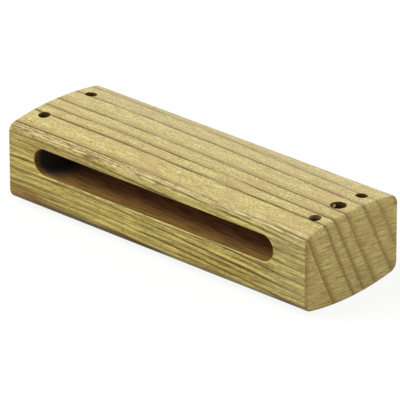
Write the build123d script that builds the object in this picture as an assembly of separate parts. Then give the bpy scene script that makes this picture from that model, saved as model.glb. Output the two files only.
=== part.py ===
"""A woodblock: one hollowed block of hardwood, with threaded brass inserts pressed into its solid ends."""

import math
import os

from build123d import *

# The block, in millimetres: length along X, depth along Y with the slot face at -Y, height along Z from 0
block_length = 198.0
block_depth = 67.4
side_height = 39.4
top_crown = 3.3
bottom_crown = 3.6
top_edge_radius = 5.0
bottom_edge_radius = 5.0
end_edge_radius = 1.0

# The slot, milled into the front face by a round cutter, so its ends are half circles
slot_left_wall = 17.6
slot_right_wall = 21.2
slot_roof = 6.55
slot_height = 14.25
slot_back_wall = 14.0
slot_lip_radius = 0.5

# Holes drilled down into the solid wood beyond the slot's ends
hole_end_distance = 9.0
hole_row_spacing = 34.0
corner_hole_diameter = 6.0
stand_hole_diameter = 8.0
drill_point_angle = 118.0

# Threaded brass inserts, sunk below the striking face
corner_insert_sink = 3.6
corner_insert_length = 9.0
corner_thread_bore = 3.3
stand_insert_sink = 4.6
stand_insert_length = 12.0
stand_thread_bore = 5.0
screw_runout = 6.0
press_clearance = 0.02
thread_chamfer = 0.5
knurl_depth = 0.3
knurl_pitch = 0.8
waist_depth = 0.5
waist_length = 2.0

block_height = bottom_crown + side_height + top_crown
half_depth = block_depth / 2
shoulder_height = bottom_crown + side_height


def top_height(y):
    """Height of the striking face's arc at a distance y from the middle of the block."""
    radius = (half_depth**2 + top_crown**2) / (2 * top_crown)
    return block_height - radius + math.sqrt(radius**2 - y**2)


def hole_depth(sink, insert_length):
    """A hole holds its insert and leaves room under it for the end of a long screw."""
    return sink + insert_length + screw_runout


def block_blank():
    """The block before it is hollowed: flat sides, arched top and bottom, eased edges."""
    outline = Curve() + [
        Line((-half_depth, bottom_crown), (-half_depth, shoulder_height)),
        ThreePointArc((-half_depth, shoulder_height), (0, block_height), (half_depth, shoulder_height)),
        Line((half_depth, shoulder_height), (half_depth, bottom_crown)),
        ThreePointArc((half_depth, bottom_crown), (0, 0), (-half_depth, bottom_crown)),
    ]
    section = make_face(outline)
    section = fillet(section.vertices().sort_by(Axis.Y)[-2:], top_edge_radius)
    section = fillet(section.vertices().sort_by(Axis.Y)[:2], bottom_edge_radius)
    blank = extrude(Plane.YZ * section, amount=block_length / 2, both=True)
    ends = blank.faces().sort_by(Axis.X)
    return fillet(ends[0].edges() + ends[-1].edges(), end_edge_radius)


def slot_cut():
    """The space that the slot takes out, from the front face to its flat back."""
    length = block_length - slot_left_wall - slot_right_wall
    middle_x = (slot_left_wall - slot_right_wall) / 2
    middle_z = shoulder_height - slot_roof - slot_height / 2
    mouth = Plane(origin=(middle_x, -half_depth, middle_z), x_dir=(1, 0, 0), z_dir=(0, 1, 0))
    return extrude(mouth * SlotOverall(length, slot_height), amount=block_depth - slot_back_wall)


def drilled_hole(x, y, diameter, depth):
    """The space that a twist drill takes out, down from the striking face, with its pointed end."""
    rim = top_height(y)
    point = diameter / 2 / math.tan(math.radians(drill_point_angle / 2))
    shaft_length = block_height - rim + depth
    shaft = Pos(x, y, block_height - shaft_length / 2) * Cylinder(diameter / 2, shaft_length)
    tip = Pos(x, y, rim - depth - point / 2) * Cone(0, diameter / 2, point)
    return shaft + tip


def knurled_section(radius):
    """Outline of a straight knurl, with its crests on the radius."""
    teeth = round(2 * math.pi * radius / knurl_pitch)
    step = math.pi / teeth
    points = []
    for index in range(2 * teeth):
        reach = radius - knurl_depth * (index % 2)
        points.append((reach * math.cos(index * step), reach * math.sin(index * step)))
    return make_face(Polyline(*points, close=True))


def threaded_insert(hole_diameter, bore, length):
    """A brass insert standing on Z 0: two knurled bands with a plain waist, and a bore through it."""
    radius = hole_diameter / 2 - press_clearance
    body = extrude(knurled_section(radius), amount=length)
    ring = Cylinder(radius, waist_length) - Cylinder(radius - waist_depth, waist_length)
    body -= Pos(0, 0, length / 2) * ring
    body -= Pos(0, 0, length / 2) * Cylinder(bore / 2, length)
    lead = Cone(bore / 2 + thread_chamfer, bore / 2, thread_chamfer)
    body -= Pos(0, 0, thread_chamfer / 2) * lead
    body -= Pos(0, 0, length - thread_chamfer / 2) * Rot(180, 0, 0) * lead
    return body


def seated(insert, x, y, sink, length):
    """An insert pressed down its hole, with its top a given depth below the striking face."""
    return Pos(x, y, top_height(y) - sink - length) * insert


row_x = block_length / 2 - hole_end_distance
row_y = hole_row_spacing / 2
corners = {
    "front_left": (-row_x, -row_y),
    "back_left": (-row_x, row_y),
    "front_right": (row_x, -row_y),
    "back_right": (row_x, row_y),
}
corner_depth = hole_depth(corner_insert_sink, corner_insert_length)
stand_depth = hole_depth(stand_insert_sink, stand_insert_length)

block = block_blank() - slot_cut()
front = block.faces().sort_by(Axis.Y)[0]
block = fillet(front.inner_wires()[0].edges(), slot_lip_radius)
for x, y in corners.values():
    block -= drilled_hole(x, y, corner_hole_diameter, corner_depth)
block -= drilled_hole(row_x, 0, stand_hole_diameter, stand_depth)

os.makedirs("parts", exist_ok=True)
export_step(block, "parts/block.step")

stand_insert = threaded_insert(stand_hole_diameter, stand_thread_bore, stand_insert_length)
stand_insert = seated(stand_insert, row_x, 0, stand_insert_sink, stand_insert_length)
export_step(stand_insert, "parts/stand_insert.step")

for place, (x, y) in corners.items():
    insert = threaded_insert(corner_hole_diameter, corner_thread_bore, corner_insert_length)
    insert = seated(insert, x, y, corner_insert_sink, corner_insert_length)
    export_step(insert, f"parts/corner_insert_{place}.step")
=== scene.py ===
# %% [markdown]
# # A slotted woodblock in ash
# This lesson dresses a finished CAD model of a woodblock: one piece of ash with a crowned top,
# a routed slot and five drilled holes, each with a small brass threaded insert pressed into it.
# The CAD model is loaded first and stays as it is. Each piece here is modelled over it, in the
# same frame and in metres, so that nothing has to be fitted afterwards.

# %% Load the frame
import math

import bpy
from mathutils import Matrix, Vector


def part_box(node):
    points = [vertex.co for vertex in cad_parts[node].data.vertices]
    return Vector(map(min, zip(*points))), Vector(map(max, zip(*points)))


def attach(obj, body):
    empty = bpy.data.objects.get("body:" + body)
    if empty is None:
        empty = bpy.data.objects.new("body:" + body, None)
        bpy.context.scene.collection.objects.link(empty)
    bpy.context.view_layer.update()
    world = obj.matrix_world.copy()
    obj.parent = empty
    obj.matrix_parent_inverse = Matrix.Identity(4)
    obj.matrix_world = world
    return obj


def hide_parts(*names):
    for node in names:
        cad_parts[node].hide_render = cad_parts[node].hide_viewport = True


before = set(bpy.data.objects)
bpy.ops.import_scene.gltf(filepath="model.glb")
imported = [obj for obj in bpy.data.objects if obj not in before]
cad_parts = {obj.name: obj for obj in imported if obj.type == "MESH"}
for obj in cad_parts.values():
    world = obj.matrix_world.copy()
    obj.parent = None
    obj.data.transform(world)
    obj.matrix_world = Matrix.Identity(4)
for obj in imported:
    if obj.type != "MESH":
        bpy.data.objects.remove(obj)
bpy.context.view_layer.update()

block_low, block_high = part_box("block")
print("CAD nodes:", sorted(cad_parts))

# %% [markdown]
# ## Camera
# The picture was taken with a long lens, so the block's edges hardly converge. The view is
# described by where the camera stands round the block, how high, how far and how much it leans.
# The camera's three axes are worked out from those angles, which is steadier than aiming a
# camera with a constraint, and the aim lies a little below the middle of the block.

# %% Camera
MM = 0.001
view_azimuth = math.radians(42.486)
view_elevation = math.radians(25.024)
view_roll = math.radians(-0.150)
view_distance = 2.760
lens_in_mm = 503.9
aim_below_middle = 2.24 * MM
aim_left_of_middle = 0.25 * MM
middle_height = 23.3 * MM
sensor_in_mm = 36
far_clip = 20

block_middle = Vector((0, 0, middle_height))
backwards = Vector((
    math.sin(view_azimuth) * math.cos(view_elevation),
    -math.cos(view_azimuth) * math.cos(view_elevation),
    math.sin(view_elevation),
))
level_right = Vector((math.cos(view_azimuth), math.sin(view_azimuth), 0))
level_up = backwards.cross(level_right)
camera_right = level_right * math.cos(view_roll) + level_up * math.sin(view_roll)
camera_up = level_up * math.cos(view_roll) - level_right * math.sin(view_roll)
aim = block_middle - camera_up * aim_below_middle - camera_right * aim_left_of_middle

bpy.ops.object.camera_add()
camera = bpy.context.object
camera.name = "studio_camera"
camera.data.sensor_width = sensor_in_mm
camera.data.lens = lens_in_mm
camera.data.clip_end = far_clip
turn = Matrix((camera_right, camera_up, backwards)).transposed().to_4x4()
camera.matrix_world = Matrix.Translation(aim + backwards * view_distance) @ turn
bpy.context.scene.camera = camera
print("camera at", [round(v, 3) for v in camera.location])

# %% [markdown]
# ## Tools for the bench
# Modelling by operators means acting on what is selected, and the CAD nodes are still selected
# after loading. So each new piece starts with nothing selected. The two drawing helpers work
# like a pen and a compass: a plane is merged to one point, the point is pulled out into lines,
# and it is spun about a centre to draw an arc. Two more helpers pick faces and cut shapes.


# %% Starting a piece
def lay_tools_down():
    """Leaves edit mode and deselects everything."""
    if bpy.context.object and bpy.context.object.mode != "OBJECT":
        bpy.ops.object.mode_set(mode="OBJECT")
    bpy.ops.object.select_all(action="DESELECT")


def take(piece):
    """Makes one piece the only selected and active one."""
    lay_tools_down()
    piece.select_set(True)
    bpy.context.view_layer.objects.active = piece


def pen_at(name, point):
    """Starts a new piece in edit mode as a single selected point."""
    lay_tools_down()
    bpy.ops.mesh.primitive_plane_add(size=MM, location=point)
    piece = bpy.context.object
    piece.name = name
    piece.data.name = name
    bpy.ops.object.transform_apply(location=True, rotation=False, scale=False)
    bpy.ops.object.mode_set(mode="EDIT")
    bpy.ops.mesh.select_mode(type="VERT")
    bpy.ops.mesh.select_all(action="SELECT")
    bpy.ops.mesh.merge(type="CENTER")
    return piece


print("the bench is clear")


# %% Pen and compass
def pull(step):
    """Pulls what is selected out by a step: a point draws a line, a line a face, a face a wall."""
    bpy.ops.mesh.extrude_region_move(TRANSFORM_OT_translate={"value": step})


def swing(centre, axis, angle, steps):
    """Swings what is selected about a centre, clockwise as seen from the tip of the axis."""
    bpy.ops.mesh.spin(steps=steps, angle=angle, center=centre, axis=axis, use_auto_merge=False)


def close_up():
    """Merges points that meet, and turns every face outwards."""
    bpy.ops.mesh.select_all(action="SELECT")
    bpy.ops.mesh.remove_doubles(threshold=0.001 * MM)
    bpy.ops.mesh.normals_make_consistent(inside=False)


print("pen and compass are ready")


# %% Picking and cutting
def pick_faces(piece, wanted):
    """Selects, in edit mode, the faces whose normal passes a test."""
    bpy.ops.mesh.select_mode(type="FACE")
    bpy.ops.mesh.select_all(action="DESELECT")
    bpy.ops.object.mode_set(mode="OBJECT")
    for face in piece.data.polygons:
        face.select = wanted(face.normal)
    bpy.ops.object.mode_set(mode="EDIT")


def combine(piece, tool, operation):
    """Cuts a tool out of a piece, or keeps what they share, and clears the tool away."""
    take(piece)
    bpy.ops.object.modifier_add(type="BOOLEAN")
    cut = piece.modifiers[-1]
    cut.object = tool
    cut.operation = operation
    cut.solver = "EXACT"
    bpy.ops.object.modifier_apply(modifier=cut.name)
    bpy.data.objects.remove(tool)


print("picking and cutting are ready")

# %% [markdown]
# ## The block: blank
# The real block is sawn to length, and its top and bottom are planed to a shallow crown. A cube
# with a bevel can't give that section, so its outline is drawn with the pen and the compass:
# two large arcs for the crowns, four small ones for the rounded long edges and two straight
# sides. The outline is filled and pulled along the grain, and the edges of both ends are eased.

# %% Block sizes
top_crown = 3.3 * MM
bottom_crown = 3.6 * MM
top_edge_radius = 5.0 * MM
bottom_edge_radius = 5.0 * MM
end_edge_radius = 1.0 * MM
crown_steps = 48
corner_steps = 14
end_edge_steps = 4

half_depth = block_high.y
top_reach = half_depth - top_edge_radius
bottom_reach = half_depth - bottom_edge_radius


def crown_radius(rise):
    """Radius of the arc that rises this much over the block's depth."""
    return (half_depth**2 + rise**2) / (2 * rise)


top_radius = crown_radius(top_crown)
bottom_radius = crown_radius(bottom_crown)
top_lean = math.asin(top_reach / (top_radius - top_edge_radius))
bottom_lean = math.asin(bottom_reach / (bottom_radius - bottom_edge_radius))
top_centre_height = block_high.z - top_radius
bottom_centre_height = block_low.z + bottom_radius
upper_corner = top_centre_height + (top_radius - top_edge_radius) * math.cos(top_lean)
lower_corner = bottom_centre_height - (bottom_radius - bottom_edge_radius) * math.cos(bottom_lean)
print("crown radii in mm:", round(top_radius / MM, 1), round(bottom_radius / MM, 1))


# %% Block section and length
def section_point(y, z):
    """A point of the block's section, on its left end."""
    return (block_low.x, y, z)


backwards_over_top = (1, 0, 0)
quarter = math.pi / 2
start_height = top_centre_height + top_radius * math.cos(top_lean)
ash_block = pen_at("ash_block", section_point(-top_radius * math.sin(top_lean), start_height))
swing(section_point(0, top_centre_height), backwards_over_top, 2 * top_lean, crown_steps)
swing(section_point(top_reach, upper_corner), backwards_over_top, quarter - top_lean, corner_steps)
pull((0, 0, lower_corner - upper_corner))
swing(section_point(bottom_reach, lower_corner), backwards_over_top, quarter - bottom_lean, corner_steps)
swing(section_point(0, bottom_centre_height), backwards_over_top, 2 * bottom_lean, crown_steps)
swing(section_point(-bottom_reach, lower_corner), backwards_over_top, quarter - bottom_lean, corner_steps)
pull((0, 0, upper_corner - lower_corner))
swing(section_point(-top_reach, upper_corner), backwards_over_top, quarter - top_lean, corner_steps)
close_up()
bpy.ops.mesh.edge_face_add()
pull((block_high.x - block_low.x, 0, 0))
close_up()
pick_faces(ash_block, lambda normal: abs(normal.x) > 0.99)
bpy.ops.mesh.region_to_loop()
bpy.ops.mesh.bevel(offset=end_edge_radius, segments=end_edge_steps, profile=0.5, affect="EDGES")
lay_tools_down()
print("blank size in mm:", [round(1000 * v, 2) for v in ash_block.dimensions])

# %% [markdown]
# ## The slot
# The hollow under the top is what makes a woodblock sound. A router cut it from the front, so
# its ends are full half circles and the roof over it is only a few millimetres thick. The tool
# here is the shape the router swept: a long rounded outline pulled into the block. Towards the
# front it flares by a quarter round, which leaves the eased lip when the tool is cut away.

# %% Slot sizes
slot_left = -81.4 * MM
slot_right = 77.8 * MM
slot_floor = 22.2 * MM
slot_roof = 36.45 * MM
slot_back = 19.7 * MM

slot_end_radius = (slot_roof - slot_floor) / 2
slot_height = (slot_roof + slot_floor) / 2
slot_middle = (slot_left + slot_right) / 2
slot_run = slot_right - slot_left - 2 * slot_end_radius
front_face = block_low.y
slot_length_in_mm = round((slot_right - slot_left) / MM, 1)
print("slot", slot_length_in_mm, "mm long and", round(2 * slot_end_radius / MM, 2), "mm high")

# %% Slot
slot_end_steps = 32
slot_lip_radius = 0.5 * MM
lip_steps = 5
clear_of_front = 3 * MM
over_to_left = (0, 1, 0)

right_turn = Vector((slot_right - slot_end_radius, slot_back, slot_height))
left_turn = Vector((slot_left + slot_end_radius, slot_back, slot_height))
router = pen_at("router", right_turn - Vector((0, 0, slot_end_radius)))
swing(right_turn, over_to_left, math.pi, slot_end_steps)
pull((-slot_run, 0, 0))
swing(left_turn, over_to_left, math.pi, slot_end_steps)
pull((slot_run, 0, 0))
close_up()
bpy.ops.mesh.edge_face_add()
depth_reached = slot_back
flare_reached = 0.0
for step in range(lip_steps + 1):
    angle = quarter * step / lip_steps
    depth = front_face + slot_lip_radius * (1 - math.sin(angle))
    flare = slot_lip_radius * (1 - math.cos(angle))
    pull((0, depth - depth_reached, 0))
    wider = (slot_run / 2 + slot_end_radius + flare) / (slot_run / 2 + slot_end_radius + flare_reached)
    taller = (slot_end_radius + flare) / (slot_end_radius + flare_reached)
    bpy.ops.transform.resize(value=(wider, 1, taller), center_override=(slot_middle, depth, slot_height))
    depth_reached = depth
    flare_reached = flare
pull((0, -clear_of_front, 0))
close_up()
combine(ash_block, router, "DIFFERENCE")
print("slot cut,", len(ash_block.data.polygons), "faces")

# %% [markdown]
# ## The holes
# Two holes sit near the left end and three near the right, and the middle one of the three is
# larger. A drill is a turned shape, so its profile is drawn with the pen and swung a full turn:
# a point, a straight flank and a flat top. A second, very short tool leans with the crown and
# rounds each rim a little, as sandpaper does. The drills are joined, so that one cut takes them
# all, and so are the tools for the rims.

# %% Turning
turning_steps = 64


def turned(name, profile):
    """A solid of revolution about the Z axis, from points given as (radius, height)."""
    piece = pen_at(name, (profile[0][0], 0, profile[0][1]))
    for (radius, height), (next_radius, next_height) in zip(profile, profile[1:]):
        pull((next_radius - radius, 0, next_height - height))
    bpy.ops.mesh.select_all(action="SELECT")
    swing((0, 0, 0), (0, 0, 1), 2 * math.pi, turning_steps)
    close_up()
    lay_tools_down()
    return piece


def put_at(piece, place, lean=0.0):
    """Leans a piece about the X axis, moves it, and keeps its place in its mesh."""
    take(piece)
    piece.rotation_euler.x = lean
    piece.location = place
    bpy.ops.object.transform_apply(location=True, rotation=True, scale=True)


def joined(pieces):
    """Joins several separate pieces into the first."""
    take(pieces[0])
    for piece in pieces:
        piece.select_set(True)
    bpy.ops.object.join()
    return bpy.context.object


print("the lathe turns in", turning_steps, "steps")

# %% Hole sizes and tools
hole_row = 90 * MM
corner_hole_reach = 17 * MM
corner_hole_radius = 3 * MM
stand_hole_radius = 4 * MM
corner_hole_depth = 18.6 * MM
stand_hole_depth = 22.6 * MM
drill_point_angle = math.radians(118)
rim_radius = 0.25 * MM
rim_steps = 3
clear_of_top = 2 * MM
clear_of_rim = 1 * MM


def top_height(y):
    """Height of the crowned top at a distance from its middle line."""
    return top_centre_height + math.sqrt(top_radius**2 - y**2)


def drill(radius, depth):
    """A twist drill's envelope with its full-width depth below height zero."""
    point_length = radius / math.tan(drill_point_angle / 2)
    profile = [(0, -depth - point_length), (radius, -depth), (radius, clear_of_top), (0, clear_of_top)]
    return turned("drill", profile)


def rim_cutter(radius):
    """A button-shaped tool that rounds the rim of a hole of this radius."""
    profile = [(0, -rim_radius)]
    for step in range(rim_steps + 1):
        angle = quarter * step / rim_steps
        profile.append((radius + rim_radius * (1 - math.cos(angle)), rim_radius * (math.sin(angle) - 1)))
    profile += [(radius + rim_radius, clear_of_rim), (0, clear_of_rim)]
    return turned("rim_cutter", profile)


print("drills of", 2 * corner_hole_radius / MM, "and", 2 * stand_hole_radius / MM, "mm")

# %% Drilled holes
corner_holes = {
    "front_left": (-hole_row, -corner_hole_reach),
    "back_left": (-hole_row, corner_hole_reach),
    "front_right": (hole_row, -corner_hole_reach),
    "back_right": (hole_row, corner_hole_reach),
}
holes = [(x, y, corner_hole_radius, corner_hole_depth) for x, y in corner_holes.values()]
holes.append((hole_row, 0, stand_hole_radius, stand_hole_depth))
drills = []
rim_cutters = []
for x, y, radius, depth in holes:
    drills.append(drill(radius, depth))
    put_at(drills[-1], (x, y, top_height(y)))
    rim_cutters.append(rim_cutter(radius))
    put_at(rim_cutters[-1], (x, y, top_height(y)), lean=-math.asin(y / top_radius))
combine(ash_block, joined(drills), "DIFFERENCE")
combine(ash_block, joined(rim_cutters), "DIFFERENCE")
print(len(holes), "holes drilled,", len(ash_block.data.polygons), "faces")

# %% [markdown]
# ## Marking the cut surfaces
# The router and the drills leave another surface than the plane does: darker, rougher and
# slightly scorched; inside the slot and the holes its colour also carries painted shade. The
# faces inside the slot and the holes are found by their place, and a number is stored on each
# of them, which the material reads later. Then the curved faces are shaded smooth and the
# normals weighted by area, so that the flat sides stay perfectly flat.

# %% Finding the cut surfaces
SMALL = 0.02 * MM


def from_slot_middle(point):
    """Distance, seen from the front, from the line between the centres of the slot's round ends."""
    past_centre = max(0.0, abs(point.x - slot_middle) - slot_run / 2)
    return math.hypot(past_centre, point.z - slot_height)


def inside_slot(point):
    """True on the walls that the router left, behind the eased lip."""
    behind_lip = front_face + slot_lip_radius - SMALL < point.y < slot_back + SMALL
    return behind_lip and from_slot_middle(point) < slot_end_radius + SMALL


def on_lip(point):
    """True on the eased lip round the slot's mouth."""
    at_mouth = front_face + SMALL < point.y < front_face + slot_lip_radius
    return at_mouth and from_slot_middle(point) < slot_end_radius + slot_lip_radius + SMALL


def inside_hole(point):
    """True on the rims, the walls and the points of the drilled holes."""
    for x, y, radius, _ in holes:
        near = math.hypot(point.x - x, point.y - y) < radius + rim_radius
        if near and point.z < top_height(point.y) - SMALL:
            return True
    return False


print("faces count as cut within", SMALL / MM, "mm")

# %% Surface marks and smooth shading
block_smooth_angle = math.radians(35)


def mark_faces(piece, mark, wanted):
    """Stores 1 on the faces whose middle passes a test and 0 on the rest."""
    values = [1.0 if wanted(face.center) else 0.0 for face in piece.data.polygons]
    layer = piece.data.attributes.new(mark, "FLOAT", "FACE")
    layer.data.foreach_set("value", values)
    print(piece.name, mark, int(sum(values)), "of", len(values), "faces")


def smooth(piece, angle):
    """Smooth shading with sharp edges over an angle, and normals weighted by face area."""
    take(piece)
    bpy.ops.object.shade_smooth_by_angle(angle=angle)
    bpy.ops.object.modifier_add(type="WEIGHTED_NORMAL")
    piece.modifiers[-1].keep_sharp = True
    bpy.ops.object.modifier_apply(modifier=piece.modifiers[-1].name)


mark_faces(ash_block, "routed", inside_slot)
mark_faces(ash_block, "lip", on_lip)
mark_faces(ash_block, "drilled", inside_hole)
smooth(ash_block, block_smooth_angle)

# %% [markdown]
# ## The threaded inserts
# Screw holes in wood often hold a brass insert, so that the screws of a stand or a bracket don't
# wear them out. The picture shows none: these follow the CAD model, where they are a guess. A
# lathe makes them from knurled bar: the ends are chamfered, a waist is turned in, and the bore
# is drilled and tapped. The same steps are taken here. The knurled bar is a toothed outline that
# turns a little as it is pulled up, and the tap is a thread profile on a screw path.

# %% Knurled bar
knurl_depth = 0.3 * MM
knurl_pitch = 0.8 * MM
knurl_turn = math.radians(32)
knurl_steps = 16
past_end = 1 * MM


def knurled_bar(radius, length):
    """A bar with slanting teeth, from just below height zero to just over its length."""
    teeth = round(2 * math.pi * radius / knurl_pitch)
    lay_tools_down()
    bpy.ops.mesh.primitive_circle_add(vertices=2 * teeth, radius=radius, fill_type="NGON")
    bar = bpy.context.object
    bar.name = "knurled_bar"
    bpy.ops.object.mode_set(mode="EDIT")
    bpy.ops.mesh.select_mode(type="VERT")
    bpy.ops.mesh.select_all(action="DESELECT")
    bpy.ops.object.mode_set(mode="OBJECT")
    for index, point in enumerate(bar.data.vertices):
        point.select = index % 2 == 1
    bpy.ops.object.mode_set(mode="EDIT")
    valley = 1 - knurl_depth / radius
    bpy.ops.transform.resize(value=(valley, valley, 1), center_override=(0, 0, 0))
    bpy.ops.mesh.select_all(action="SELECT")
    bpy.ops.transform.translate(value=(0, 0, -past_end))
    rise = (length + 2 * past_end) / knurl_steps
    turn_in_step = knurl_turn / knurl_steps
    for _ in range(knurl_steps):
        pull((0, 0, rise))
        bpy.ops.transform.rotate(value=turn_in_step, orient_axis="Z", center_override=(0, 0, 0))
    close_up()
    lay_tools_down()
    return bar


print("knurls", knurl_pitch / MM, "mm apart")

# %% Lathe and drill
waist_depth = 0.5 * MM
waist_length = 2 * MM
insert_chamfer = 0.5 * MM
countersink_margin = 0.1 * MM


def turned_outline(radius, length):
    """What the lathe leaves outside: chamfered ends and a waist between two knurled bands."""
    outer = radius + SMALL
    end = radius - insert_chamfer
    waist = radius - waist_depth
    low_shoulder = (length - waist_length) / 2
    high_shoulder = (length + waist_length) / 2
    profile = [(0, 0), (end, 0), (outer, insert_chamfer + SMALL)]
    profile += [(outer, low_shoulder), (waist, low_shoulder + waist_depth / 2)]
    profile += [(waist, high_shoulder - waist_depth / 2), (outer, high_shoulder)]
    profile += [(outer, length - insert_chamfer - SMALL), (end, length), (0, length)]
    return turned("turned_outline", profile)


def bore_drill(bore, thread, length):
    """The tapping drill, with a countersink at both ends."""
    wide = thread + countersink_margin
    sink = wide - bore
    profile = [(0, -past_end), (wide, -past_end), (wide, 0), (bore, sink)]
    profile += [(bore, length - sink), (wide, length), (wide, length + past_end), (0, length + past_end)]
    return turned("bore_drill", profile)


print("waist", waist_length / MM, "mm long")

# %% Tap
root_share = 0.12
flank_share = 0.45
spare_turns = 2
thread_steps = 40


def tap(bore, thread, pitch, length):
    """The thread's envelope: one tooth profile on a screw path, closed at both ends."""
    core = bore - SMALL
    profile = [(core, 0), (core, root_share), (thread, flank_share)]
    profile += [(thread, 1 - flank_share), (core, 1 - root_share), (core, 1)]
    piece = pen_at("tap", (core, 0, -spare_turns * pitch))
    for (radius, share), (next_radius, next_share) in zip(profile, profile[1:]):
        pull((next_radius - radius, 0, (next_share - share) * pitch))
    bpy.ops.object.mode_set(mode="OBJECT")
    bpy.ops.object.modifier_add(type="SCREW")
    path = piece.modifiers[-1]
    path.axis = "Z"
    path.angle = 2 * math.pi
    path.screw_offset = pitch
    path.iterations = math.ceil(length / pitch) + 2 * spare_turns
    path.steps = path.render_steps = thread_steps
    path.use_merge_vertices = True
    bpy.ops.object.modifier_apply(modifier=path.name)
    bpy.ops.object.mode_set(mode="EDIT")
    bpy.ops.mesh.select_all(action="SELECT")
    bpy.ops.mesh.remove_doubles(threshold=0.001 * MM)
    bpy.ops.mesh.select_all(action="DESELECT")
    bpy.ops.mesh.select_non_manifold()
    bpy.ops.mesh.fill_holes(sides=0)
    close_up()
    lay_tools_down()
    return piece


print("threads turn in", thread_steps, "steps")

# %% Insert maker
insert_smooth_angle = math.radians(30)


def threaded_insert(name, radius, length, bore, thread, pitch):
    """A finished insert standing on height zero."""
    insert = knurled_bar(radius, length)
    insert.name = name
    insert.data.name = name
    combine(insert, turned_outline(radius, length), "INTERSECT")
    combine(insert, bore_drill(bore, thread, length), "DIFFERENCE")
    combine(insert, tap(bore, thread, pitch, length), "DIFFERENCE")
    smooth(insert, insert_smooth_angle)
    print(name, len(insert.data.polygons), "faces")
    return insert


print("insert maker is ready")

# %% [markdown]
# One insert of each size is modelled at the origin and then copied to its holes. A copy gets
# its own mesh, because a piece's place is kept in its mesh and not on its object.

# %% Inserts in their holes
corner_insert_length = 9 * MM
stand_insert_length = 12 * MM


def insert_radius(node):
    """Outer radius of a CAD insert, from its box."""
    low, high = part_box(node)
    return (high.x - low.x) / 2


corner_pattern = threaded_insert(
    "corner_pattern", insert_radius("corner_insert_front_left"), corner_insert_length,
    bore=1.65 * MM, thread=2.0 * MM, pitch=0.7 * MM,
)
brass_pieces = {}
for corner, (x, y) in corner_holes.items():
    node_name = "corner_insert_" + corner
    piece = corner_pattern.copy()
    piece.data = corner_pattern.data.copy()
    piece.name = piece.data.name = "brass_" + corner
    bpy.context.scene.collection.objects.link(piece)
    put_at(piece, (x, y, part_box(node_name)[0].z))
    brass_pieces[node_name] = piece
bpy.data.objects.remove(corner_pattern)

stand_piece = threaded_insert(
    "brass_stand", insert_radius("stand_insert"), stand_insert_length,
    bore=2.5 * MM, thread=3.0 * MM, pitch=1.0 * MM,
)
put_at(stand_piece, (hole_row, 0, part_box("stand_insert")[0].z))
brass_pieces["stand_insert"] = stand_piece
print("inserts:", sorted(piece.name for piece in brass_pieces.values()))

# %% [markdown]
# ## Node helpers
# A material is a graph of small nodes. These helpers put one node down and connect it, so that
# the recipes below read as sums and mixtures. All patterns are read from Object coordinates in
# millimetres: wood grain is a solid pattern, and one function of place then agrees on the top,
# the sides, the end grain and inside the slot.


# %% Node helpers
def put(tree, kind, sockets=(), **options):
    """Adds a node, sets its options, and gives its sockets values or links."""
    made = tree.nodes.new("ShaderNode" + kind)
    for option, value in options.items():
        setattr(made, option, value)
    for socket, value in dict(sockets).items():
        if isinstance(value, bpy.types.NodeSocket):
            tree.links.new(value, made.inputs[socket])
        else:
            made.inputs[socket].default_value = value
    return made


def maths(tree, operation, *values):
    """One Math node."""
    return put(tree, "Math", enumerate(values), operation=operation).outputs[0]


def times(tree, first, second):
    """Multiplies two values."""
    return maths(tree, "MULTIPLY", first, second)


def fade(tree, value, start, end, low=0.0, high=1.0):
    """Eases from low to high while a value goes from start to end."""
    sockets = {"Value": value, "From Min": start, "From Max": end, "To Min": low, "To Max": high}
    return put(tree, "MapRange", sockets, interpolation_type="SMOOTHSTEP").outputs[0]


def between(tree, mask, low, high):
    """Eases from low where a mask is 0 to high where it is 1."""
    return fade(tree, mask, 0.0, 1.0, low, high)


print("nodes for values are ready")


# %% Places, noise and colours
def vector(tree, x, y, z):
    """A vector from three values or outputs."""
    return put(tree, "CombineXYZ", {"X": x, "Y": y, "Z": z}).outputs[0]


def stretched(tree, place, scales):
    """A place scaled by a number for each axis."""
    return put(tree, "VectorMath", {0: place, 1: scales}, operation="MULTIPLY").outputs[0]


def noise(tree, place, detail=2.0, roughness=0.5):
    """Smooth noise that changes about once per unit of its place."""
    sockets = {"Vector": place, "Scale": 1.0, "Detail": detail, "Roughness": roughness}
    return put(tree, "TexNoise", sockets).outputs[0]


def blend_colours(tree, share, first, second):
    """Mixes two colours."""
    return put(tree, "Mix", {0: share, 6: first, 7: second}, data_type="RGBA").outputs[2]


print("nodes for places and colours are ready")


# %% Materials and groups
def new_material(name):
    """A new material, with its graph, its Principled shader and a place in millimetres."""
    material = bpy.data.materials.new(name)
    material.use_nodes = True
    tree = material.node_tree
    shader = tree.nodes["Principled BSDF"]
    coordinates = put(tree, "TexCoord")
    place = stretched(tree, coordinates.outputs["Object"], (1000, 1000, 1000))
    return material, tree, shader, place


def new_group(name, inputs, outputs):
    """A node group with named sockets. Gives the group, and what it reads from and writes to."""
    group = bpy.data.node_groups.new(name, "ShaderNodeTree")
    for socket, kind in inputs:
        group.interface.new_socket(socket, in_out="INPUT", socket_type="NodeSocket" + kind)
    for socket, kind in outputs:
        group.interface.new_socket(socket, in_out="OUTPUT", socket_type="NodeSocket" + kind)
    entry = group.nodes.new("NodeGroupInput")
    leave = group.nodes.new("NodeGroupOutput")
    return group, entry.outputs, leave.inputs


def place_group(tree, group, sockets):
    """Places a group in a material with its own values."""
    return put(tree, "Group", sockets, node_tree=group).outputs


print("material helpers are ready")

# %% [markdown]
# ## Shared effects
# Two effects are used by both finishes. Streaks are fine marks drawn out in one direction:
# fibres along the wood, and fine scratches on the brass. Patches are broad, soft changes of
# tone: mineral colour in the wood, and tarnish on the brass. Each is a group that puts out
# masks, and each material places it with its own sizes, in millimetres.

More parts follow.
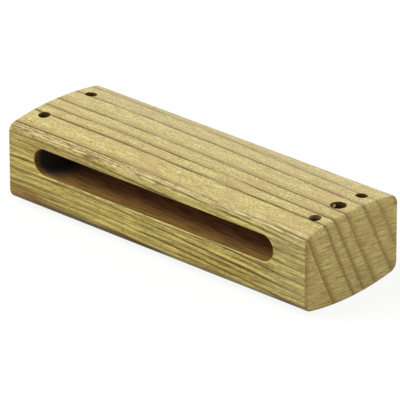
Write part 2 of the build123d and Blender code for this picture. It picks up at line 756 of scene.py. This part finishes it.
# %% Streaks
streaks, given, result = new_group(
    "streaks", [("Place", "Vector"), ("Length", "Float"), ("Width", "Float")],
    [("Streak", "Float"), ("Fleck", "Float")],
)
along = maths(streaks, "DIVIDE", 1.0, given["Length"])
across = maths(streaks, "DIVIDE", 1.0, given["Width"])
drawn_out = stretched(streaks, given["Place"], vector(streaks, along, across, across))
streaks.links.new(noise(streaks, drawn_out, detail=3.0, roughness=0.6), result["Streak"])
flecks = noise(streaks, stretched(streaks, drawn_out, (3.1, 2.3, 2.3)), detail=1.0)
streaks.links.new(fade(streaks, flecks, 0.56, 0.70), result["Fleck"])


def place_streaks(tree, place, length, width):
    """Places streaks that lie along the first axis of a place."""
    return place_group(tree, streaks, {"Place": place, "Length": length, "Width": width})


print("streaks:", len(streaks.nodes), "nodes")

# %% Patches
patches, given, result = new_group(
    "patches", [("Place", "Vector"), ("Size", "Float")], [("Broad", "Float"), ("Mottle", "Float")]
)
per_patch = maths(patches, "DIVIDE", 1.0, given["Size"])
shrunk = put(patches, "VectorMath", {0: given["Place"], "Scale": per_patch}, operation="SCALE").outputs[0]
patches.links.new(noise(patches, shrunk, detail=1.5), result["Broad"])
mottle_place = stretched(patches, shrunk, (5.3, 5.3, 5.3))
patches.links.new(noise(patches, mottle_place, detail=3.0, roughness=0.65), result["Mottle"])


def place_patches(tree, place, size):
    """Places patches of about a size."""
    return place_group(tree, patches, {"Place": place, "Size": size})


print("patches:", len(patches.nodes), "nodes")

# %% [markdown]
# ## Ash: growth rings
# Ash has broad, pale late wood and a thin brown line of open pores where each year begins. The
# end of the block shows the rings as slanting, almost straight bands, so the middle of the tree
# lay far above and behind it. A ring's radius is the distance from that middle. Six lines stand
# out on the top, and their places at its left end are given. Behind them the rings are wide.
# In front of them the tree grew slowly, so they are narrow, and every other line is faint. A
# clear line is given by its place across the block, in millimetres, and its strength. All lines
# then become a radius and a strength.

# %% Ring lines
pith_y = 376.0
pith_z = 208.0
clear_lines = ((26.0, 0.60), (15.0, 0.85), (1.0, 0.80), (-8.0, 0.95), (-15.5, 1.00), (-29.5, 1.00))
wide_ring = 11.0
wide_rings = 2
wide_ring_strength = 0.60
narrow_ring = 1.3
narrow_rings = 18
faint_strength = 0.30


def radius_on_top(y):
    """Distance from the middle of the tree of a place on the block's top."""
    return math.hypot(pith_y - y, pith_z - top_height(y * MM) / MM)


top_lines = [(radius_on_top(y), strength) for y, strength in clear_lines]
first_radius = top_lines[0][0]
last_radius = top_lines[-1][0]
inner_lines = [(first_radius - wide_ring * step, wide_ring_strength) for step in range(wide_rings, 0, -1)]
outer_lines = []
for step in range(1, narrow_rings + 1):
    strength = faint_strength if step % 2 else 1.0
    outer_lines.append((last_radius + narrow_ring * step, strength))
ring_lines = inner_lines + top_lines + outer_lines
print(len(ring_lines), "ring lines over", round(ring_lines[-1][0] - ring_lines[0][0], 1), "mm")

# %% [markdown]
# The rings are a group of their own. It first works out the radius at a place. The tree wasn't
# straight: the lines drift to the front along the block, more at the back, and waver slowly and
# quickly. The quick waver grows at the right end, and both are calmer in the narrow rings. The
# group also puts out a place that follows the grain, for fibres and pores.

# %% Ring drift
back_drift = 7.5
front_drift = 3.8
drift_start = -50.0
drift_end = 97.0
drift_bend = 1.2

growth, given, result = new_group(
    "growth_rings", [("Place", "Vector"), ("Line Width", "Float")],
    [
        ("Line", "Float"), ("Shade", "Float"), ("Early", "Float"), ("Close", "Float"),
        ("Grain Place", "Vector"),
    ],
)
axes = put(growth, "SeparateXYZ", {0: given["Place"]}).outputs
from_pith_y = maths(growth, "SUBTRACT", pith_y, axes["Y"])
from_pith_z = maths(growth, "SUBTRACT", pith_z, axes["Z"])
square_y = maths(growth, "POWER", from_pith_y, 2.0)
square_z = maths(growth, "POWER", from_pith_z, 2.0)
distance = maths(growth, "SQRT", maths(growth, "ADD", square_y, square_z))
along_block = put(growth, "MapRange", {"Value": axes["X"], 1: drift_start, 2: drift_end}).outputs[0]
along_block = maths(growth, "POWER", along_block, drift_bend)
drift_here = {"Value": distance, 1: first_radius, 2: last_radius, 3: back_drift, 4: front_drift}
drift = times(growth, put(growth, "MapRange", drift_here).outputs[0], along_block)
print("ring drift:", len(growth.nodes), "nodes")

# %% Ring waver and radius
slow_waver_length = 40.0
slow_waver_reach = 1.2
quick_waver_length = 7.0
quick_waver_width = 9.0
quick_waver_reach = 0.6
middle_radius = 420.0

slow_scale = 1 / slow_waver_length
slow_place = stretched(growth, given["Place"], (slow_scale, slow_scale, slow_scale))
slow_waver = maths(growth, "SUBTRACT", noise(growth, slow_place, detail=1.0), 0.5)
quick_scales = (1 / quick_waver_length, 1 / quick_waver_width, 1 / quick_waver_width)
quick_waver = maths(growth, "SUBTRACT", noise(growth, stretched(growth, given["Place"], quick_scales)), 0.5)
quick_part = times(growth, quick_waver, quick_waver_reach)
quick_part = times(growth, quick_part, fade(growth, axes["X"], 92.0, 98.5, 1.0, 2.4))
waver = maths(growth, "ADD", times(growth, slow_waver, slow_waver_reach), quick_part)
waver = times(growth, waver, fade(growth, distance, 425.0, 442.0, 1.0, 0.45))
radius = maths(growth, "ADD", maths(growth, "SUBTRACT", distance, drift), waver)
round_ring = times(growth, maths(growth, "ARCTAN2", from_pith_z, from_pith_y), middle_radius)
growth.links.new(vector(growth, axes["X"], radius, round_ring), result["Grain Place"])
print("ring radius:", len(growth.nodes), "nodes")

# %% [markdown]
# A curve through the ring lines turns the radius into a count of rings. The fraction of that
# count is the age within a ring, and its slope tells how close the rings lie. From these come
# the dark line, the brown late wood that fades in before it, and the early wood after it.


# %% Counting rings
def curve_through(tree, value, points):
    """Looks a value up on straight lines through points, given as (value, result) from low to high."""
    first, last = points[0][0], points[-1][0]
    top = max(result for _, result in points)
    share = put(tree, "MapRange", {"Value": value, 1: first, 2: last}).outputs[0]
    curve = put(tree, "FloatCurve", {"Value": share})
    handles = curve.mapping.curves[0].points
    while len(handles) < len(points):
        handles.new(0.5, 0.5)
    for handle, (spot, result) in zip(handles, points):
        handle.location = ((spot - first) / (last - first), result / top)
        handle.handle_type = "VECTOR"
    curve.mapping.update()
    return times(tree, curve.outputs[0], float(top))


step_ahead = 0.3
numbered = [(line, number) for number, (line, _) in enumerate(ring_lines)]
count = curve_through(growth, radius, numbered)
count_ahead = curve_through(growth, maths(growth, "ADD", radius, step_ahead), numbered)
rings_per_mm = maths(growth, "DIVIDE", maths(growth, "SUBTRACT", count_ahead, count), step_ahead)
age = maths(growth, "FRACT", count)
after_line = maths(growth, "DIVIDE", age, rings_per_mm)
before_line = maths(growth, "DIVIDE", maths(growth, "SUBTRACT", 1.0, age), rings_per_mm)
print("ring count:", len(growth.nodes), "nodes")

# %% Ring line and late wood
widest_late_wood = 5.0
early_width = 2.6

line_width = maths(growth, "MINIMUM", given["Line Width"], maths(growth, "DIVIDE", 0.5, rings_per_mm))
rising = fade(growth, before_line, 0.0, times(growth, line_width, 0.8), 1.0, 0.0)
falling = fade(growth, after_line, 0.0, times(growth, line_width, 0.7), 1.0, 0.0)
strength = curve_through(growth, radius, ring_lines)
line = times(growth, maths(growth, "MAXIMUM", rising, falling), strength)
late_width = maths(growth, "MINIMUM", maths(growth, "DIVIDE", 0.45, rings_per_mm), widest_late_wood)
late_wood = fade(growth, before_line, 0.0, late_width, 1.0, 0.0)
growth.links.new(line, result["Line"])
growth.links.new(times(growth, late_wood, strength), result["Shade"])
growth.links.new(fade(growth, after_line, 0.0, early_width, 1.0, 0.0), result["Early"])
growth.links.new(fade(growth, rings_per_mm, 0.30, 0.65), result["Close"])
print("growth rings:", len(growth.nodes), "nodes")

# %% [markdown]
# ## Ash: where the surface changes
# The same wood looks different on each side of the block. Across its ends the fibres are cut
# through, so they drink more of the finish. The rounded edges were sanded, and the top takes
# the polish of the beaters. Masks for those places come from the surface's own direction, and
# the marks stored on the faces tell the router's and the drills' work.

# %% Ash masks
ash, tree, shader, place = new_material("ash_finish")
axes = put(tree, "SeparateXYZ", {0: place}).outputs
normal = put(tree, "NewGeometry").outputs["Normal"]
facing = put(tree, "SeparateXYZ", {0: normal}).outputs
crown_drop = maths(tree, "DIVIDE", maths(tree, "POWER", axes["Y"], 2.0), 2 * top_radius / MM)
below_rim = maths(tree, "SUBTRACT", maths(tree, "SUBTRACT", block_high.z / MM, crown_drop), axes["Z"])
up = maths(tree, "MAXIMUM", facing["Z"], 0.0)
endwise = maths(tree, "SUBTRACT", maths(tree, "ABSOLUTE", facing["X"]), times(tree, up, 0.7))
end_grain = times(tree, fade(tree, endwise, 0.12, 0.60), fade(tree, below_rim, 1.2, 3.4))
top_side = fade(tree, facing["Z"], 0.55, 0.95)
front_side = fade(tree, facing["Y"], -0.45, -0.90)
under_edge = times(tree, fade(tree, facing["Z"], -0.04, -0.50), fade(tree, facing["Z"], -0.985, -0.92))
front_edge = times(tree, fade(tree, facing["Z"], 0.10, 0.50), fade(tree, facing["Y"], -0.16, -0.45))
routed = put(tree, "Attribute", attribute_name="routed").outputs["Fac"]
lip = put(tree, "Attribute", attribute_name="lip").outputs["Fac"]
drilled = put(tree, "Attribute", attribute_name="drilled").outputs["Fac"]
print("masks ready:", len(tree.nodes), "nodes")

# %% [markdown]
# ## Ash: grain
# The colour runs between a dark and a pale fibre, driven by short fine streaks and a speckle,
# with longer streaks and rosy patches over them. Across the ends the saw left nearly level marks.

# %% Ash fibres
fibre_dark = (0.370, 0.268, 0.056, 1)
fibre_pale = (0.800, 0.685, 0.268, 1)
late_brown = (0.255, 0.160, 0.028, 1)
end_brown = (0.300, 0.180, 0.040, 1)
rosy = (0.520, 0.355, 0.135, 1)
saw_slope = 0.10

line_width = between(tree, end_grain, 1.40, 3.0)
line_width = maths(tree, "SUBTRACT", line_width, times(tree, front_side, 0.25))
rings = place_group(tree, growth, {"Place": place, "Line Width": line_width})
grain_place = rings["Grain Place"]
fibres = place_streaks(tree, grain_place, length=10.0, width=0.55)
figure = place_streaks(tree, grain_place, length=70.0, width=0.65)
speckle = place_patches(tree, place, size=6.0)
tones = place_patches(tree, place, size=24.0)
saw_height = maths(tree, "ADD", axes["Z"], times(tree, axes["Y"], saw_slope))
saw_marks = place_streaks(tree, vector(tree, axes["Y"], saw_height, 0.0), length=13.0, width=0.60)

fibre_tone = fade(tree, fibres["Streak"], 0.80, 0.20)
fibre_tone = maths(tree, "ADD", fibre_tone, fade(tree, speckle["Mottle"], 0.3, 0.7, -0.42, 0.42))
wood = blend_colours(tree, fibre_tone, fibre_dark, fibre_pale)
sawn_end = blend_colours(tree, fade(tree, saw_marks["Streak"], 0.61, 0.39), end_brown, fibre_pale)
wood = blend_colours(tree, times(tree, end_grain, 0.66), wood, sawn_end)
streak_strength = between(tree, front_side, 0.30, 0.85)
long_streak = times(tree, fade(tree, figure["Streak"], 0.48, 0.66), streak_strength)
wood = blend_colours(tree, maths(tree, "SUBTRACT", long_streak, end_grain), wood, late_brown)
wood = blend_colours(tree, fade(tree, tones["Broad"], 0.47, 0.66, 0.0, 0.46), wood, rosy)
print("fibres ready:", len(tree.nodes), "nodes")

# %% [markdown]
# The front is cut almost along the rings, so it shows more than the top does: pale and brown
# bands, and fine threads. It is creamier over the slot and at its right end, and browner at its left.

# %% Ash front
front_pale = (0.835, 0.690, 0.185, 1)
thread_brown = (0.165, 0.097, 0.010, 1)
cream = (0.740, 0.640, 0.320, 1)

bands = place_streaks(tree, grain_place, length=110.0, width=2.6)
threads = place_streaks(tree, grain_place, length=24.0, width=0.62)
pale_band = times(tree, fade(tree, bands["Streak"], 0.54, 0.40, 0.0, 0.95), front_side)
wood = blend_colours(tree, pale_band, wood, front_pale)
brown_band = times(tree, fade(tree, bands["Streak"], 0.52, 0.62, 0.0, 0.90), front_side)
wood = blend_colours(tree, brown_band, wood, late_brown)
thread_tone = blend_colours(tree, fade(tree, threads["Streak"], 0.62, 0.40), thread_brown, front_pale)
wood = blend_colours(tree, times(tree, front_side, 0.56), wood, thread_tone)
right_end = times(tree, fade(tree, axes["X"], 62.0, 88.0), front_side)
over_slot = times(tree, fade(tree, axes["Z"], 35.0, 38.0), front_side)
creamy = maths(tree, "ADD", times(tree, right_end, 0.20), times(tree, over_slot, 0.14))
wood = blend_colours(tree, creamy, wood, cream)
left_front = times(tree, fade(tree, axes["X"], 20.0, -60.0), front_side)
wood = blend_colours(tree, times(tree, left_front, 0.16), wood, late_brown)
print("front ready:", len(tree.nodes), "nodes")

# %% [markdown]
# Late wood is browner, in stretches on the top. Then come rust-brown patches on the ends, browner
# wood towards their front corner, the pores, and the ring lines, which are the strongest. A line
# fades in and out along its length, and on end grain it is wide and soft.

# %% Ash late wood and pores
rust = (0.420, 0.225, 0.062, 1)
early_wood = (0.075, 0.040, 0.004, 1)

pores = place_streaks(tree, grain_place, length=7.0, width=0.8)
shade_strength = between(tree, end_grain, 0.42, 0.85)
shade_strength = times(tree, shade_strength, between(tree, rings["Close"], 1.0, 0.45))
shade_swell = fade(tree, bands["Streak"], 0.40, 0.60, 1.7, 0.6)
shade_strength = times(tree, shade_strength, between(tree, top_side, 1.0, shade_swell))
wood = blend_colours(tree, times(tree, rings["Shade"], shade_strength), wood, late_brown)
end_patches = times(tree, end_grain, fade(tree, tones["Mottle"], 0.50, 0.66, 0.0, 0.40))
wood = blend_colours(tree, end_patches, wood, rust)
end_corner = fade(tree, axes["Y"], -29.5, -33.0, 0.16, 0.55)
wood = blend_colours(tree, times(tree, end_grain, end_corner), wood, end_brown)
dotted = times(tree, pores["Fleck"], between(tree, rings["Early"], 0.25, 0.60))
wood = blend_colours(tree, dotted, wood, early_wood)
print("late wood ready:", len(tree.nodes), "nodes")

# %% Ash ring lines
swell = place_streaks(tree, grain_place, length=45.0, width=1.2)
right_front = times(tree, fade(tree, axes["X"], -20.0, 20.0, 0.0, 0.45), front_side)
faintest = maths(tree, "ADD", between(tree, top_side, 0.40, 0.28), right_front)
line_fading = fade(tree, swell["Streak"], 0.38, 0.54, faintest, 1.0)
line_fading = times(tree, line_fading, fade(tree, pores["Streak"], 0.30, 0.55, 0.70, 1.0))
line_fading = times(tree, line_fading, between(tree, left_front, 1.0, 0.65))
line_fading = times(tree, line_fading, between(tree, right_end, 1.0, 0.65))
soft_ends = times(tree, end_grain, between(tree, rings["Close"], 0.76, 0.97))
ring_line = times(tree, rings["Line"], line_fading)
ring_line = times(tree, ring_line, maths(tree, "SUBTRACT", 1.0, soft_ends))
wood = blend_colours(tree, ring_line, wood, early_wood)
print("grain ready:", len(tree.nodes), "nodes")

# %% [markdown]
# ## Ash: edges and tool marks
# Use and work leave colours over the grain, and some painted light lies there too. The front's
# upper edge is paler, partly rubbed wear and partly a painted highlight, and shows brown dashes,
# most at its left. The lower edges are darkened as painted shade, a strip along the bottom of the
# front's left part is darker, and a red-brown stain sits at the lower left of the front.

# %% Ash edges
pale_wood_and_highlight = (0.800, 0.700, 0.310, 1)
edge_brown = (0.180, 0.098, 0.015, 1)
dark_low_colour = (0.080, 0.042, 0.010, 1)
red_stain = (0.205, 0.088, 0.016, 1)

# Partly wear and partly a painted highlight: the front's upper edge is painted paler.
pale_edge_and_highlight = times(tree, front_edge, fade(tree, figure["Streak"], 0.54, 0.40, 0.0, 0.75))
pale_edge_and_highlight = times(tree, pale_edge_and_highlight, fade(tree, pores["Streak"], 0.60, 0.42, 0.15, 1.0))
wood = blend_colours(tree, pale_edge_and_highlight, wood, pale_wood_and_highlight)
dashes = fade(tree, pores["Streak"], 0.46, 0.62)
edge_stain = times(tree, fade(tree, axes["X"], 30.0, -60.0, 0.35, 1.0), front_edge)
edge_stain = times(tree, edge_stain, between(tree, dashes, 0.14, 1.0))
wood = blend_colours(tree, edge_stain, wood, edge_brown)
# Painted shade: the lower edges, which face down, are painted darker.
wood = blend_colours(tree, times(tree, under_edge, 0.58), wood, dark_low_colour)

low_front = maths(tree, "MAXIMUM", front_side, under_edge)
stain = times(tree, fade(tree, axes["X"], -66.0, -84.0), fade(tree, axes["Z"], 13.0, 9.0, 0.0, 0.95))
stain = times(tree, stain, fade(tree, figure["Streak"], 0.40, 0.55, 0.35, 1.0))
wood = blend_colours(tree, times(tree, stain, low_front), wood, red_stain)
# A strip along the bottom of the front's left part is painted darker.
low_front_darkening = times(tree, fade(tree, axes["X"], -90.0, -78.0), fade(tree, axes["X"], 15.0, -25.0))
low_front_darkening = times(tree, low_front_darkening, fade(tree, axes["Z"], 7.8, 6.0, 0.0, 0.85))
low_front_darkening = times(tree, low_front_darkening, fade(tree, bands["Streak"], 0.36, 0.52, 0.4, 1.0))
wood = blend_colours(tree, times(tree, low_front_darkening, low_front), wood, dark_low_colour)
print("edges ready:", len(tree.nodes), "nodes")

# %% [markdown]
# The slot's walls are darker brown, partly scorch from the router and partly painted shade, and
# painted bounce light makes them redder further in. The router also left dark streaks along and
# across them. At the left end a painted shade turns them black. The eased lip is paler, a
# painted highlight.

# %% Ash slot
scorch_and_shade_brown = (0.270, 0.146, 0.029, 1)
painted_bounce_red = (0.560, 0.250, 0.135, 1)
scorched_dark = (0.085, 0.038, 0.012, 1)
painted_shade_black = (0.040, 0.037, 0.031, 1)
slot_left_in_mm = slot_left / MM

# The walls' darker brown is partly router scorch and partly painted shade; the red further in is painted
# bounce light.
inwards = maths(tree, "SUBTRACT", axes["Y"], front_face / MM)
scorch_shade_and_bounce = blend_colours(tree, fade(tree, inwards, 2.0, 24.0), scorch_and_shade_brown, painted_bounce_red)
chatter = place_streaks(tree, place, length=14.0, width=1.0)
scorch_shade_and_bounce = blend_colours(tree, fade(tree, chatter["Streak"], 0.44, 0.62, 0.0, 0.75), scorch_shade_and_bounce, scorched_dark)
across_slot = vector(tree, axes["Y"], axes["X"], axes["Z"])
cutter_marks = place_streaks(tree, across_slot, length=9.0, width=0.9)
scorch_shade_and_bounce = blend_colours(tree, fade(tree, cutter_marks["Streak"], 0.46, 0.60, 0.0, 0.15), scorch_shade_and_bounce, scorched_dark)
wood = blend_colours(tree, times(tree, routed, 0.94), wood, scorch_shade_and_bounce)
# Painted shade: the left end of the slot is painted black.
left_end_shade = fade(tree, axes["X"], slot_left_in_mm + 24, slot_left_in_mm + 5)
left_end_shade = times(tree, left_end_shade, fade(tree, inwards, 1.6, 5.5, 0.05, 0.96))
wood = blend_colours(tree, times(tree, routed, left_end_shade), wood, painted_shade_black)
# Painted highlight: the eased lip is painted paler.
wood = blend_colours(tree, times(tree, lip, 0.18), wood, pale_wood_and_highlight)
print("slot ready:", len(tree.nodes), "nodes")

# %% [markdown]
# The holes are brown at their rims, and painted shade darkens them below. The front one at the
# right is paler near its rim, and a pale chip of wood clings to the wall of the large one.

# %% Ash holes
drill_brown = (0.125, 0.062, 0.014, 1)
paler_bore_colour = (0.420, 0.310, 0.130, 1)
chip_spot = (hole_row / MM - 3.8, 1.3, block_high.z / MM - 2.0)

# Painted shade: the holes get darker with depth below the rim.
bore = blend_colours(tree, fade(tree, below_rim, 0.4, 3.0), drill_brown, painted_shade_black)
# The front hole at the right is paler near its rim.
paler_patch = times(tree, fade(tree, axes["X"], 60.0, 80.0), fade(tree, axes["Y"], -8.0, -12.0))
paler_patch = times(tree, paler_patch, fade(tree, below_rim, 2.8, 1.2, 0.0, 0.45))
bore = blend_colours(tree, paler_patch, bore, paler_bore_colour)
from_chip = put(tree, "VectorMath", {0: place, 1: chip_spot}, operation="DISTANCE").outputs["Value"]
bore = blend_colours(tree, fade(tree, from_chip, 1.1, 0.6), bore, pale_wood_and_highlight)
wood = blend_colours(tree, drilled, wood, bore)
tree.links.new(wood, shader.inputs["Base Color"])
print("colour ready:", len(tree.nodes), "nodes")

# %% [markdown]
# ## Ash: gloss and relief
# A thin oil finish lies on the wood as a clear coat. It is fullest on the top, which hands and
# beaters rub, thinner on the front edge and thinnest on the sides, and it sinks away in the ring
# lines and on cut surfaces. The relief under it is small: fibres stand up a little and pores are
# hollow.

# %% Ash gloss and relief
coat_roughness = 0.36
specular_level = 0.10
relief_strength = 0.5
relief_height = 0.12 * MM

rubbed = maths(tree, "MAXIMUM", top_side, times(tree, front_edge, 0.4))
coat = times(tree, between(tree, rubbed, 0.25, 0.80), fade(tree, ring_line, 0.0, 0.8, 1.0, 0.15))
cut_open = maths(tree, "MAXIMUM", routed, drilled)
coat = times(tree, coat, between(tree, cut_open, 1.0, 0.05))
tree.links.new(coat, shader.inputs["Coat Weight"])
shader.inputs["Coat Roughness"].default_value = coat_roughness
shader.inputs["Specular IOR Level"].default_value = specular_level
tree.links.new(fade(tree, fibres["Streak"], 0.3, 0.7, 0.50, 0.66), shader.inputs["Roughness"])
relief = maths(tree, "SUBTRACT", fibres["Streak"], times(tree, pores["Fleck"], 0.6))
relief = maths(tree, "SUBTRACT", relief, times(tree, ring_line, 0.5))
bump = put(tree, "Bump", {"Height": relief, "Strength": relief_strength, "Distance": relief_height})
tree.links.new(bump.outputs[0], shader.inputs["Normal"])
tree.links.new(bump.outputs[0], shader.inputs["Coat Normal"])
ash_block.data.materials.clear()
ash_block.data.materials.append(ash)
print("ash graph:", len(tree.nodes), "nodes")

# %% [markdown]
# ## Brass
# The inserts are turned brass, left bare. Fine scratches roughen it, and tarnish browns it in
# patches. Real tool marks would run round each insert, but these are only tenths of a millimetre
# wide and sit down in the holes, so the shared streaks are placed straight along the block.

# %% Brass material
bright_brass = (0.720, 0.520, 0.220, 1)
tarnish = (0.360, 0.225, 0.085, 1)
scratch_strength = 0.25
scratch_height = 0.02 * MM

brass, tree, shader, place = new_material("brass_finish")
scratches = place_streaks(tree, place, length=3.0, width=0.12)
tarnish_mask = place_patches(tree, place, size=4.0)
metal = blend_colours(tree, fade(tree, tarnish_mask["Mottle"], 0.42, 0.66, 0.0, 0.7), bright_brass, tarnish)
tree.links.new(metal, shader.inputs["Base Color"])
shader.inputs["Metallic"].default_value = 1.0
tree.links.new(fade(tree, scratches["Streak"], 0.3, 0.7, 0.28, 0.48), shader.inputs["Roughness"])
scratch_sockets = {"Height": scratches["Streak"], "Strength": scratch_strength, "Distance": scratch_height}
bump = put(tree, "Bump", scratch_sockets)
tree.links.new(bump.outputs[0], shader.inputs["Normal"])
for piece in brass_pieces.values():
    piece.data.materials.clear()
    piece.data.materials.append(brass)
print("brass graph:", len(tree.nodes), "nodes")

# %% [markdown]
# ## Floor and light
# The block lies on a plain white surface. A pure white background would swallow the shadow, so
# the floor mixes a steady white, which only the camera, reflections and clear things see, with
# an ordinary matt surface that takes the shadow. Light that it throws back at the block comes
# from a greyer matt surface. One large lamp from the upper left of the front gives the top its
# light, a weaker one behind the right end lifts the end grain, and the world fills in the rest.

# %% Floor
floor_size = 8.0
lay_tools_down()
bpy.ops.mesh.primitive_grid_add(x_subdivisions=2, y_subdivisions=2, size=floor_size)
floor = bpy.context.object
floor.name = "studio_floor"
print("floor", floor_size, "m wide")

# %% Floor finish
floor_grey = (0.62, 0.62, 0.62, 1)
floor_pale = (0.9, 0.9, 0.9, 1)
white = (1, 1, 1, 1)
floor_glow = 0.90
matt_share = 0.12


def seen_directly(tree):
    """1 for rays from the camera, reflections and clear things, and 0 for light on the object."""
    rays = put(tree, "LightPath").outputs
    mirrored = maths(tree, "MAXIMUM", rays["Is Glossy Ray"], rays["Is Transmission Ray"])
    return maths(tree, "MAXIMUM", rays["Is Camera Ray"], mirrored)


floor_finish = bpy.data.materials.new("floor_finish")
floor_finish.use_nodes = True
tree = floor_finish.node_tree
tree.nodes.remove(tree.nodes["Principled BSDF"])
bounced = put(tree, "BsdfDiffuse", {"Color": floor_grey}).outputs[0]
matt = put(tree, "BsdfDiffuse", {"Color": floor_pale}).outputs[0]
glow = put(tree, "Emission", {"Color": white, "Strength": floor_glow / (1 - matt_share)}).outputs[0]
shown = put(tree, "MixShader", {0: matt_share, 1: glow, 2: matt}).outputs[0]
finish = put(tree, "MixShader", {0: seen_directly(tree), 1: bounced, 2: shown}).outputs[0]
tree.links.new(finish, tree.nodes["Material Output"].inputs["Surface"])
floor.data.materials.append(floor_finish)
print("floor finish:", len(tree.nodes), "nodes")

# %% World and lamps
world_fill = 0.42
world = bpy.data.worlds.new("studio_world")
bpy.context.scene.world = world
world.use_nodes = True
tree = world.node_tree
sky = tree.nodes["Background"]
sky.inputs["Color"].default_value = white
fill = between(tree, seen_directly(tree), world_fill, 1.0)
tree.links.new(fill, sky.inputs["Strength"])


def soft_lamp(name, place, size, watts):
    """A square lamp that faces the block."""
    lay_tools_down()
    bpy.ops.object.light_add(type="AREA", location=place)
    lamp = bpy.context.object
    lamp.name = name
    lamp.data.shape = "SQUARE"
    lamp.data.size = size
    lamp.data.energy = watts
    away = Vector(place) - block_middle
    lamp.rotation_mode = "QUATERNION"
    lamp.rotation_quaternion = away.to_track_quat("Z", "Y")
    print(name, watts, "W")


soft_lamp("key_lamp", (-0.75, -0.75, 1.35), size=0.9, watts=22)
soft_lamp("end_lamp", (1.5, 0.55, 0.7), size=0.8, watts=7)
bpy.context.scene.view_settings.view_transform = "Standard"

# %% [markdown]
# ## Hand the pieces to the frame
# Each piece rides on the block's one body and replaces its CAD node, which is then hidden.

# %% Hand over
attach(ash_block, "root")
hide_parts("block")
for node_name, piece in brass_pieces.items():
    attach(piece, "root")
    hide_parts(node_name)
